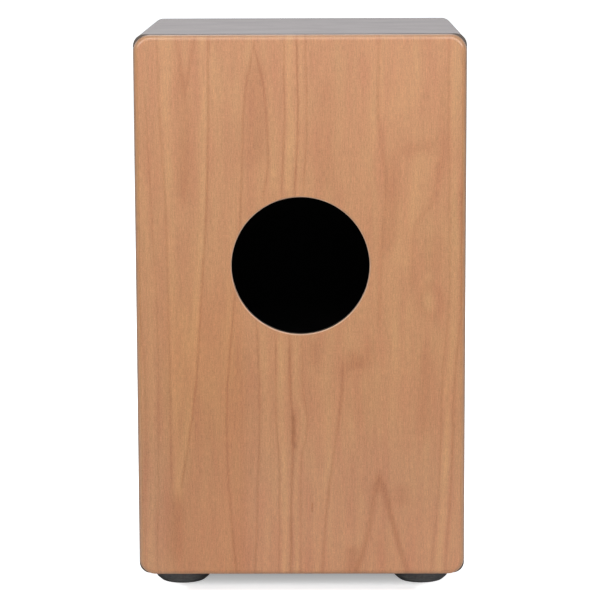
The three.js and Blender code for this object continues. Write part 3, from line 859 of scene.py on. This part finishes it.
def bevel(bm, width, segments=3, angle=50.0):
    """Rounds the edges that turn by more than angle degrees."""
    bmesh.ops.recalc_face_normals(bm, faces=bm.faces)
    limit = math.radians(angle)
    edges = [e for e in bm.edges if len(e.link_faces) == 2 and e.calc_face_angle(0.0) > limit]
    bmesh.ops.bevel(
        bm, geom=edges, offset=width, offset_type="OFFSET", segments=segments, profile=0.5,
        affect="EDGES", clamp_overlap=True,
    )


def boolean(bm, tools, operation="DIFFERENCE"):
    """Exact boolean of bmeshes."""

    def temporary(part, name):
        bmesh.ops.recalc_face_normals(part, faces=part.faces)
        return link_object(name, to_mesh(part, name))

    base = temporary(bm, "tmp_base")
    cutters = [temporary(tool, "tmp_tool") for tool in tools]
    for cutter in cutters:
        modifier = base.modifiers.new("cut", "BOOLEAN")
        modifier.object = cutter
        modifier.operation = operation
        modifier.solver = "EXACT"
    graph = bpy.context.evaluated_depsgraph_get()
    mesh = bpy.data.meshes.new_from_object(base.evaluated_get(graph))
    out = bmesh.new()
    out.from_mesh(mesh)
    for used in [base] + cutters:
        data = used.data
        bpy.data.objects.remove(used)
        bpy.data.meshes.remove(data)
    bpy.data.meshes.remove(mesh)
    return out


def refined(node, width, angle=50.0):
    """The CAD node's own shape with its sharp edges eased, in metres."""
    bm = bmesh.new()
    bm.from_mesh(frame["nodes"][node].data)
    bmesh.ops.remove_doubles(bm, verts=bm.verts, dist=2e-6)
    bmesh.ops.dissolve_limit(
        bm, angle_limit=math.radians(0.3), verts=bm.verts, edges=bm.edges
    )
    bevel(bm, width * MM, angle=angle)
    return bm


def rounded_rect(half_width, half_height, radius, steps=14):
    points = []
    for quarter, (side_x, side_z) in enumerate(((1, 1), (-1, 1), (-1, -1), (1, -1))):
        for i in range(steps + 1):
            a = math.radians(quarter * 90 + 90 * i / steps)
            points.append((
                side_x * (half_width - radius) + radius * math.cos(a),
                side_z * (half_height - radius) + radius * math.sin(a),
            ))
    return points


def panel_ring(box, corner, inset, y):
    """The outline of an upright panel, drawn in by inset."""
    lo, hi = box
    outline = rounded_rect(
        (hi.x - lo.x) * 500 - inset, (hi.z - lo.z) * 500 - inset, corner - inset
    )
    return [(x, y, z + (lo.z + hi.z) * 500) for x, z in outline]


def round_over(radius, count):
    """(distance in from the side, depth under the face), from the face round to the side."""
    return [
        (radius * (1 - math.sin(a)), radius * (1 - math.cos(a)))
        for a in np.linspace(0, math.pi / 2, count)
    ]


def centre(node):
    lo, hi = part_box(node)
    return (lo + hi) * 500.0


# ==========================================================================================
# Rear panel: rounded-over plywood with the sound hole
# ==========================================================================================
REAR_CORNER = 15.0
REAR_ROUND_OVER = 5.0
HOLE_EASE = 1.5
HOLE_SEGMENTS = 144


def rear_panel():
    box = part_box("rear_panel")
    y0, y1 = box[0].y * 1000, box[1].y * 1000
    hole_z = BOX_BOTTOM + HOLE_HEIGHT
    verts, faces = [], []

    # Outside, from the rear face to the inner face: (inset, y)
    sides = [(REAR_ROUND_OVER + 0.5, y0)]
    sides += [(inset, y0 + depth) for inset, depth in round_over(REAR_ROUND_OVER, 11)]
    sides += [(0, y1 - 0.4), (0.12, y1 - 0.12), (0.4, y1), (0.9, y1)]
    outer = stack(
        verts, faces, [panel_ring(box, REAR_CORNER, inset, y) for inset, y in sides]
    )

    # Hole, from the rear face to the inner face: (growth of the radius, y)
    ease = round_over(HOLE_EASE, 6)
    wall = [(HOLE_EASE + 0.4, y0)]
    wall += [(grow, y0 + depth) for grow, depth in ease]
    wall += [(grow, y1 - depth) for depth, grow in ease]
    wall += [(HOLE_EASE + 0.4, y1)]
    rings = [
        [(x, y, hole_z + z) for x, z, _ in circle(HOLE_RADIUS + grow, 0, HOLE_SEGMENTS)]
        for grow, y in wall
    ]
    hole = stack(verts, faces, rings)

    for rows in ((outer[0], hole[0]), (outer[-1], hole[-1])):
        loops = [[Vector((verts[i][0], verts[i][2], 0)) for i in row] for row in rows]
        index = rows[0] + rows[1]
        faces += [[index[i] for i in triangle] for triangle in tessellate_polygon(loops)]
    finish_piece(new_bm(verts, faces), "rear_panel", "veneer_rear")


rear_panel()

# ==========================================================================================
# Shell boards, glue blocks and snare supports
# ==========================================================================================
for node in ("left_side_board", "right_side_board", "top_board", "bottom_board"):
    finish_piece(refined(node, width=0.35), node, "black_lacquer", sharp=35, metres=True)
for level in ("top", "bottom"):
    for side in ("left", "right"):
        node = f"glue_block_{level}_{side}"
        finish_piece(refined(node, width=0.6, angle=30), node, "black_stain", metres=True)
for side in ("left", "right"):
    node = f"snare_support_{side}"
    finish_piece(refined(node, width=0.5, angle=60), node, "black_stain", metres=True)

# ==========================================================================================
# Screws, with a rolled thread and a cross recess, and washers
# ==========================================================================================
SCREW_SEGMENTS = 28
ROWS_PER_PITCH = 8
FOOT_HEAD_HEIGHT = 2.6
SNARE_HEAD_HEIGHT = 1.9


def cross_cutters(reach, top):
    """The recess's two bars, kept apart because a cutter that crosses itself removes all."""
    width = reach * 0.34
    depth = reach * 0.85
    outline = [
        (-reach, 1.0), (-reach * 0.9, 0.0), (-reach * 0.35, -depth),
        (reach * 0.35, -depth), (reach * 0.9, 0.0), (reach, 1.0),
    ]
    out = []
    for turn in (0, 90):
        bar = along_y(outline, -width / 2, width / 2)
        bmesh.ops.translate(bar, vec=(0, 0, top), verts=bar.verts)
        rotation = Matrix.Rotation(math.radians(turn), 3, "Z")
        bmesh.ops.rotate(bar, matrix=rotation, verts=bar.verts)
        out.append(bar)
    return out


def screw(head, shank, length, pitch, recess):
    """A screw mesh pointing down -Z.

    head is the (radius, height) profile from the shank up to the axis, and recess is the
    reach of the cross.
    """
    segments = SCREW_SEGMENTS
    thread_top = -1.5 if head[0][1] > -1 else head[0][1] - 1.0
    thread_rows = int((length + thread_top - 0.2) / pitch * ROWS_PER_PITCH)
    verts = [(0, 0, -length)]
    for row in range(thread_rows):
        z = -length + (length + thread_top) * (row + 1) / thread_rows
        tip = min(1.0, (z + length) / 3.0)
        fade = min(1.0, (thread_top - z) / 1.2)
        for i in range(segments):
            phase = (z / pitch - i / segments) % 1.0
            ridge = max(0.0, 1 - abs(phase - 0.5) * 3.4)
            radius = (0.76 + 0.22 * ridge * fade + 0.2 * (1 - fade)) * shank
            radius = radius * (0.22 + 0.78 * tip)
            a = 2 * math.pi * i / segments
            verts.append((radius * math.cos(a), radius * math.sin(a), z))
    for radius, z in head:
        if radius > 1e-6:
            verts += circle(radius, z, segments)
    total = (len(verts) - 1) // segments
    apex = head[-1][1]
    verts.append((0, 0, apex))
    faces = []
    last = 1 + (total - 1) * segments
    for i in range(segments):
        j = (i + 1) % segments
        faces.append([0, 1 + j, 1 + i])
        for k in range(total - 1):
            a = 1 + k * segments
            b = a + segments
            faces.append([a + i, a + j, b + j, b + i])
        faces.append([last + i, last + j, len(verts) - 1])
    return to_mesh(boolean(new_bm(verts, faces), cross_cutters(recess, apex)), "master")


def flat_head(radius, shank):
    """Countersunk head with its face at 0."""
    depth = radius - shank
    return [
        (shank, -depth - 0.4), (shank * 1.06, -depth - 0.1), (radius - 0.12, -0.28),
        (radius, -0.16), (radius - 0.1, -0.03), (radius - 0.3, 0.0), (radius * 0.5, 0.0),
        (0, 0.0),
    ]


def pan_head(radius, height, shank):
    """Domed head sitting on 0."""
    profile = [
        (shank, -0.25), (shank + 0.1, 0.0), (radius - 0.25, 0.0), (radius - 0.05, 0.12),
        (radius, 0.35), (radius * 0.985, height * 0.42),
    ]
    profile += [
        (radius * math.cos(a) * 0.985, height * 0.42 + height * 0.58 * math.sin(a))
        for a in np.radians([18, 36, 54, 72])
    ]
    return profile + [(0, height)]


def fasten(kind, node, body, material, axis, anchor):
    """Copies a screw onto a CAD screw: the head faces axis and its z 0 is at anchor."""
    bm = bmesh.new()
    bm.from_mesh(kind)
    spin = Matrix.Rotation(rng.uniform(0, math.pi / 2), 4, "Z")
    turn = Vector((0, 0, 1)).rotation_difference(Vector(axis)).to_matrix().to_4x4()
    place(bm, Matrix.Translation(Vector(anchor)) @ turn @ spin)
    finish_piece(bm, node, material, body, sharp=28)


def foot_washer(node, lo, hi, middle):
    z0, z1 = lo.z * 1000, hi.z * 1000
    outline = [(2.3, z0), (8.6, z0), (8.6, z1), (2.3, z1)]
    bm = lathe(fillet(outline, 0.22, steps=3), 64, closed=True)
    bmesh.ops.translate(bm, vec=(middle.x, middle.y, 0), verts=bm.verts)
    finish_piece(bm, node, "zinc_steel")


def friction_washer(node, lo, hi, middle):
    """A felt ring about X with a slightly ragged rim."""
    x0, x1 = lo.x * 1000, hi.x * 1000
    outline = [(8.4, 0), (10, 0), (10, x1 - x0), (8.4, x1 - x0)]
    bm = lathe(fillet(outline, 0.35, steps=3), 72, closed=True)
    for v in bm.verts:
        if math.hypot(v.co.x, v.co.y) > 9:
            v.co *= 1.0 + float(rng.uniform(-0.006, 0.0))
    turn = Matrix.Rotation(math.pi / 2, 4, "Y")
    place(bm, Matrix.Translation((x0, middle.y, middle.z)) @ turn)
    finish_piece(bm, node, "felt")


tapa_screw = screw(flat_head(3.6, 1.75), shank=1.75, length=22.0, pitch=1.5, recess=2.1)
support_screw = screw(flat_head(3.8, 1.6), shank=1.6, length=27.0, pitch=1.6, recess=2.2)
foot_screw = screw(
    pan_head(4.2, FOOT_HEAD_HEIGHT, 1.9), shank=1.9, length=16.0, pitch=1.7, recess=2.3
)
snare_screw = screw(
    pan_head(3.0, SNARE_HEAD_HEIGHT, 1.45), shank=1.45, length=12.0, pitch=1.2, recess=1.7
)

for node in sorted(frame["nodes"]):
    lo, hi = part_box(node)
    c = centre(node)
    if node.startswith("tapa_screw_"):
        anchor = (c.x, hi.y * 1000, c.z)
        fasten(tapa_screw, node, "root", "black_steel", (0, 1, 0), anchor)
    elif node.startswith("support_screw_"):
        # The heads face the middle of the box.
        inward = 1 if "_left_" in node else -1
        anchor = ((hi.x if inward > 0 else lo.x) * 1000, c.y, c.z)
        fasten(support_screw, node, "root", "zinc_steel", (inward, 0, 0), anchor)
    elif node.startswith("foot_screw_"):
        anchor = (c.x, c.y, lo.z * 1000 + FOOT_HEAD_HEIGHT)
        fasten(foot_screw, node, "root", "zinc_steel", (0, 0, -1), anchor)
    elif node.startswith("snare_screw_"):
        anchor = (c.x, hi.y * 1000 - SNARE_HEAD_HEIGHT, c.z)
        fasten(snare_screw, node, "snare_unit", "zinc_steel", (0, 1, 0), anchor)
    elif node.startswith("foot_washer_"):
        foot_washer(node, lo, hi, c)
    elif node.startswith("friction_washer_"):
        friction_washer(node, lo, hi, c)

# ==========================================================================================
# Feet
# ==========================================================================================
FOOT_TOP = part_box("foot_rear_left")[1].z * 1000
# Radius, height and fillet radius, from the screw hole round the sole to the side
FOOT_PROFILE = (
    (2.3, FOOT_TOP, 0.2), (2.3, 7.5, 0.2), (9.0, 7.5, 0.6), (9.0, 0.0, 0.7),
    (20.5, 0.0, 1.6), (24.5, 3.5, 2.6), (25.4, 5.5, 2.0), (25.4, FOOT_TOP, 0.6),
)
FLUTES = 48
FLUTE_DEPTH = 0.12


def foot(node):
    outline = [(radius, z) for radius, z, _ in FOOT_PROFILE]
    bm = lathe(fillet(outline, [row[2] for row in FOOT_PROFILE], steps=6), 192, closed=True)
    # Fine moulded flutes round the side fade out towards the floor.
    for v in bm.verts:
        radius = math.hypot(v.co.x, v.co.y)
        if radius > 24:
            wave = max(0.0, math.cos(math.atan2(v.co.y, v.co.x) * FLUTES))
            cut = FLUTE_DEPTH * wave * min(1.0, max(0.0, (v.co.z - 3.0) / 2.0))
            v.co.x *= 1.0 - cut / radius
            v.co.y *= 1.0 - cut / radius
    c = centre(node)
    bmesh.ops.translate(bm, vec=(c.x, c.y, 0), verts=bm.verts)
    finish_piece(bm, node, "foot_rubber")


for end in ("rear", "front"):
    for side in ("left", "right"):
        foot(f"foot_{end}_{side}")

# ==========================================================================================
# Tapa: thin plate with eased edges and countersunk holes
# ==========================================================================================
TAPA_CORNER = 10.5
TAPA_ROUND_OVER = 0.9
# Radius and height of a countersunk hole's cutter, with the front face at 0
COUNTERSINK = [(0, -8), (1.95, -8), (1.95, -2.4), (3.8, -0.45), (3.8, 1.0), (0, 1.0)]


def tapa():
    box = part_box("tapa")
    y0, y1 = box[0].y * 1000, box[1].y * 1000
    verts, faces = [], []
    # From the inner face to the front face: (inset, y)
    sides = [(0.3, y0), (0.0, y0 + 0.3)]
    sides += [(inset, y1 - depth) for depth, inset in round_over(TAPA_ROUND_OVER, 6)]
    rows = stack(
        verts, faces, [panel_ring(box, TAPA_CORNER, inset, y) for inset, y in sides]
    )
    faces += [rows[0][::-1], rows[-1]]
    holes = bmesh.new()
    for node in sorted(frame["nodes"]):
        if node.startswith("tapa_screw_"):
            c = centre(node)
            hole = lathe(COUNTERSINK, 40)
            turn = Matrix.Rotation(-math.pi / 2, 4, "X")
            place(hole, Matrix.Translation((c.x, y1, c.z)) @ turn)
            mesh = to_mesh(hole, "hole")
            holes.from_mesh(mesh)
            bpy.data.meshes.remove(mesh)
    finish_piece(boolean(new_bm(verts, faces), [holes]), "tapa", "veneer_front")


tapa()

# ==========================================================================================
# Snare unit
# ==========================================================================================
AXIS = Vector(next(j for j in frame["joints"] if j["name"] == "snare_tilt")["pos_m"]) * 1000
BAR_HALF_DEPTH = 10.0
BAR_HALF_HEIGHT = 11.0
BAR_HALF_LENGTH = 115.5
# Radius and height of the round tenons, one rod right through the bar
TENON = [(0, -129.5), (7.1, -129.5), (7.9, -128.6), (7.9, 128.6), (7.1, 129.5), (0, 129.5)]

PLATE_OUTLINE = [(-31, -6), (31, -6), (31, 8), (-31, 8)]  # x and z from the axis
PLATE_THICKNESS = 1.0
STRANDS = 20
STRAND_SPACING = 2.1
STRAND_LENGTH = 120.0
STRAND_LEAN = math.radians(4.8)  # from upright towards +Y
COIL_PITCH = 2.3
COIL_RADIUS = 0.60
COIL_STEPS = 8  # per turn
WIRE_RADIUS = 0.24
WIRE_SIDES = 5


def snare_bar():
    half_d, half_h = BAR_HALF_DEPTH, BAR_HALF_HEIGHT
    corners = [(-half_d, -half_h), (half_d, -half_h), (half_d, half_h), (-half_d, half_h)]
    square = along_y(fillet(corners, 2.0, steps=5), -BAR_HALF_LENGTH, BAR_HALF_LENGTH)
    bevel(square, 0.6, angle=60)
    tenon = lathe(TENON, 72)
    place(square, Matrix.Translation(AXIS) @ Matrix.Rotation(-math.pi / 2, 4, "Z"))
    place(tenon, Matrix.Translation(AXIS) @ Matrix.Rotation(math.pi / 2, 4, "Y"))
    finish_piece(boolean(square, [tenon], "UNION"), "snare_bar", "beech", "snare_unit")


def snare_plate(middle_x, y0):
    """The end plate with its two screw holes."""
    plate = along_y(fillet(PLATE_OUTLINE, 2.5, steps=5), y0, y0 + PLATE_THICKNESS)
    bevel(plate, 0.2, segments=2, angle=60)
    bmesh.ops.translate(plate, vec=(middle_x, 0, AXIS.z), verts=plate.verts)
    holes = []
    for side in (-1, 1):
        hole = lathe([(0, -4), (1.7, -4), (1.7, 4), (0, 4)], 32)
        spot = Matrix.Translation((middle_x + side * 26.5, y0, AXIS.z + 1))
        place(hole, spot @ Matrix.Rotation(math.pi / 2, 4, "X"))
        holes.append(hole)
    return boolean(plate, holes)


def add_strand(bm, start, phase):
    """A close helix of fine wire."""
    axis = Vector((0, math.sin(STRAND_LEAN), math.cos(STRAND_LEAN)))
    u = Vector((1, 0, 0))
    v = axis.cross(u)
    steps = int(STRAND_LENGTH / COIL_PITCH * COIL_STEPS)
    points = []
    for s in range(steps + 1):
        a = 2 * math.pi * s / COIL_STEPS + phase
        points.append(
            start
            + axis * (STRAND_LENGTH * s / steps)
            + u * (COIL_RADIUS * math.cos(a))
            + v * (COIL_RADIUS * math.sin(a))
        )
    rings = []
    for s, point in enumerate(points):
        tangent = (points[min(s + 1, steps)] - points[max(s - 1, 0)]).normalized()
        across = tangent.cross(axis).normalized()
        upward = across.cross(tangent).normalized()
        rings.append([
            bm.verts.new(point + across * x + upward * y)
            for x, y, _ in circle(WIRE_RADIUS, 0, WIRE_SIDES)
        ])
    for a, b in zip(rings, rings[1:]):
        for quad in strip(a, b):
            bm.faces.new(quad)
    bm.faces.new(rings[0][::-1])
    bm.faces.new(rings[-1])


def snare_set(side):
    """An end plate with its row of wound strands."""
    node = "snare_set_" + side
    lo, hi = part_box(node)
    middle_x = (lo.x + hi.x) * 500
    y0 = AXIS.y + (BAR_HALF_DEPTH + 0.1)
    bm = snare_plate(middle_x, y0)
    for i in range(STRANDS):
        x = middle_x + (i - (STRANDS - 1) / 2) * STRAND_SPACING
        start = Vector((x, y0 + PLATE_THICKNESS + 0.38, AXIS.z - 3.0))
        add_strand(bm, start, phase=i * 2.1)
    finish_piece(bm, node, "snare_steel", "snare_unit", sharp=60)


snare_bar()
snare_set("left")
snare_set("right")
bpy.data.batch_remove([m for m in bpy.data.meshes if m.users == 0])

# ==========================================================================================
# World. From here on lengths are metres.
# ==========================================================================================
# Light levels: a bright disc beyond the drum (+Y), the room on the camera's side (-Y), the
# dark sides between them, and what the camera itself sees
BACKDROP_LEVEL = 1.28
ROOM_LEVEL = 0.42
SIDE_LEVEL = 0.14
PAPER_LEVEL = 1.05


def build_world():
    world = bpy.data.worlds.new("studio")
    world.use_nodes = True
    bpy.context.scene.world = world
    tree = world.node_tree
    background = tree.nodes["Background"]
    incoming = add_node(tree, "NewGeometry").outputs["Incoming"]
    toward_y = add_node(tree, "SeparateXYZ", {0: incoming}).outputs["Y"]
    backdrop = map_range(tree, toward_y, (-0.94, -0.72), (1.0, 0.0))
    tint = mix_color(tree, backdrop, (1, 1, 1), (1.0, 0.94, 0.952))
    plug(tree, background.inputs[0], tint)
    room = map_range(tree, toward_y, (0.0, 1.0), (SIDE_LEVEL, ROOM_LEVEL))
    level = math_node(tree, "MULTIPLY_ADD", backdrop, BACKDROP_LEVEL - SIDE_LEVEL, room)
    camera_ray = add_node(tree, "LightPath").outputs["Is Camera Ray"]
    seen = add_node(tree, "Mix", {0: camera_ray, 2: level, 3: PAPER_LEVEL})
    plug(tree, background.inputs[1], seen.outputs[0])


bpy.context.scene.view_settings.view_transform = "Standard"
build_world()

# ==========================================================================================
# Floor
# ==========================================================================================
# Twice the distance from the drum's centre, and the strength of the floor's glow there; its fall
# under the box is a painted shadow
FLOOR_GLOW_AND_PAINTED_SHADOW = (
    (0.0, 0.28), (0.15, 0.295), (0.186, 0.32), (0.21, 0.37), (0.223, 0.41), (0.237, 0.45),
    (0.252, 0.52), (0.266, 0.565), (0.274, 0.55), (0.281, 0.485), (0.288, 0.42),
    (0.296, 0.35), (0.303, 0.335), (0.31, 0.40), (0.32, 0.48), (0.332, 0.60), (0.36, 0.75),
    (0.5, 0.95), (1.0, 1.0),
)


def floor_material():
    """White paper with a glow that only the camera sees, so that it doesn't light the drum.

    The glow falls off under the box as a painted shadow.
    """
    material = bpy.data.materials.new("floor")
    material.use_nodes = True
    tree = material.node_tree
    paper = tree.nodes["Principled BSDF"]
    paper.inputs["Base Color"].default_value = (0.90, 0.90, 0.91, 1)
    paper.inputs["Roughness"].default_value = 0.95
    paper.inputs["Specular IOR Level"].default_value = 0.0
    position = add_node(tree, "TexCoord").outputs["Object"]
    x, y, _ = add_node(tree, "SeparateXYZ", {0: position}).outputs
    reach = math_node(
        tree, "MAXIMUM", math_node(tree, "ABSOLUTE", x), math_node(tree, "ABSOLUTE", y)
    )
    # The glow's fall under the box paints the shadow there.
    glow = curve_node(tree, math_node(tree, "MULTIPLY", reach, 2.0), FLOOR_GLOW_AND_PAINTED_SHADOW)
    # Just outside the drum the glow is a touch cooler, against the wood's warm bounce.
    cool = map_range(tree, reach, (0.143, 0.158), interpolation="LINEAR")
    tint = mix_color(tree, cool, (1, 1, 1), (0.93, 0.985, 1.0))
    plug(tree, paper.inputs["Emission Color"], tint)
    # Towards the sides the glow is at full strength.
    beside = map_range(tree, math_node(tree, "ABSOLUTE", x), (0.086, 0.128))
    camera_ray = add_node(tree, "LightPath").outputs["Is Camera Ray"]
    strength = math_node(
        tree, "MULTIPLY", camera_ray, math_node(tree, "MAXIMUM", glow, beside)
    )
    plug(tree, paper.inputs["Emission Strength"], strength)
    # Seen from below the paper is clear, so that the drum's underside shows.
    backfacing = add_node(tree, "NewGeometry").outputs["Backfacing"]
    clear = add_node(tree, "BsdfTransparent").outputs[0]
    sheet = add_node(tree, "MixShader", {0: backfacing, 1: paper.outputs[0], 2: clear})
    output = next(n for n in tree.nodes if n.type == "OUTPUT_MATERIAL")
    plug(tree, output.inputs["Surface"], sheet.outputs[0])
    return material


floor_bm = bmesh.new()
bmesh.ops.create_grid(floor_bm, x_segments=1, y_segments=1, size=40)
floor = link_object("floor", to_mesh(floor_bm, "floor"))
floor.data.materials.append(floor_material())

# ==========================================================================================
# Lights and camera
# ==========================================================================================


def area(name, location, target, size, power, sheen=False):
    """A square light aimed at target. A sheen light shows only in reflections."""
    light = bpy.data.lights.new(name, "AREA")
    light.shape = "SQUARE"
    light.size = size
    light.energy = power
    lamp = bpy.data.objects.new(name, light)
    lamp.location = location
    lamp.rotation_mode = "QUATERNION"
    lamp.rotation_quaternion = (Vector(target) - Vector(location)).to_track_quat("-Z", "Y")
    lamp.visible_diffuse = not sheen
    bpy.context.scene.collection.objects.link(lamp)


area("key", (0.0, -1.1, 1.3), (0, -0.15, 0.25), size=1.0, power=14.8)
# Two soft panels for the sheen on the rounded rear edges
area("sheen_left", (-0.804, -1.163, 0.998), (-0.15, -0.15, 0.51), 0.65, power=9.0, sheen=True)
area("sheen_right", (0.780, -1.176, 1.001), (0.15, -0.15, 0.51), 0.65, power=9.0, sheen=True)
area("rear_fill", (-0.2, 1.6, 2.4), (0, 0.15, 0.25), size=1.2, power=22)
area("side_left", (-2.5, 2.0, 1.1), (0, 0, 0.25), size=1.4, power=17)
area("side_right", (2.5, 2.0, 1.1), (0, 0, 0.25), size=1.4, power=17)

CAMERA_YAW = math.radians(-0.558036)  # from +Y towards +X
CAMERA_PITCH = math.radians(8.8314)  # downwards
CAMERA_ROLL = math.radians(-0.206292)
# x, distance behind the rear face, and height above the box's underside
CAMERA_PLACE = (0.022659, -0.150 - 2.389296, 0.628088 + BOX_BOTTOM * MM)


def add_camera():
    data = bpy.data.cameras.new("camera")
    data.sensor_width = 36.0
    data.lens = 159.934
    data.clip_start = 0.05
    data.clip_end = 200
    camera = bpy.data.objects.new("camera", data)
    yaw, pitch, roll = CAMERA_YAW, CAMERA_PITCH, CAMERA_ROLL
    forward = Vector((
        math.sin(yaw) * math.cos(pitch), math.cos(yaw) * math.cos(pitch), -math.sin(pitch)
    ))
    level = Vector((math.cos(yaw), -math.sin(yaw), 0))
    upright = level.cross(forward)
    right = level * math.cos(roll) + upright * math.sin(roll)
    up = -level * math.sin(roll) + upright * math.cos(roll)
    matrix = Matrix((right, up, -forward)).transposed().to_4x4()
    matrix.translation = CAMERA_PLACE
    camera.matrix_world = matrix
    bpy.context.scene.collection.objects.link(camera)
    bpy.context.scene.camera = camera


add_camera()
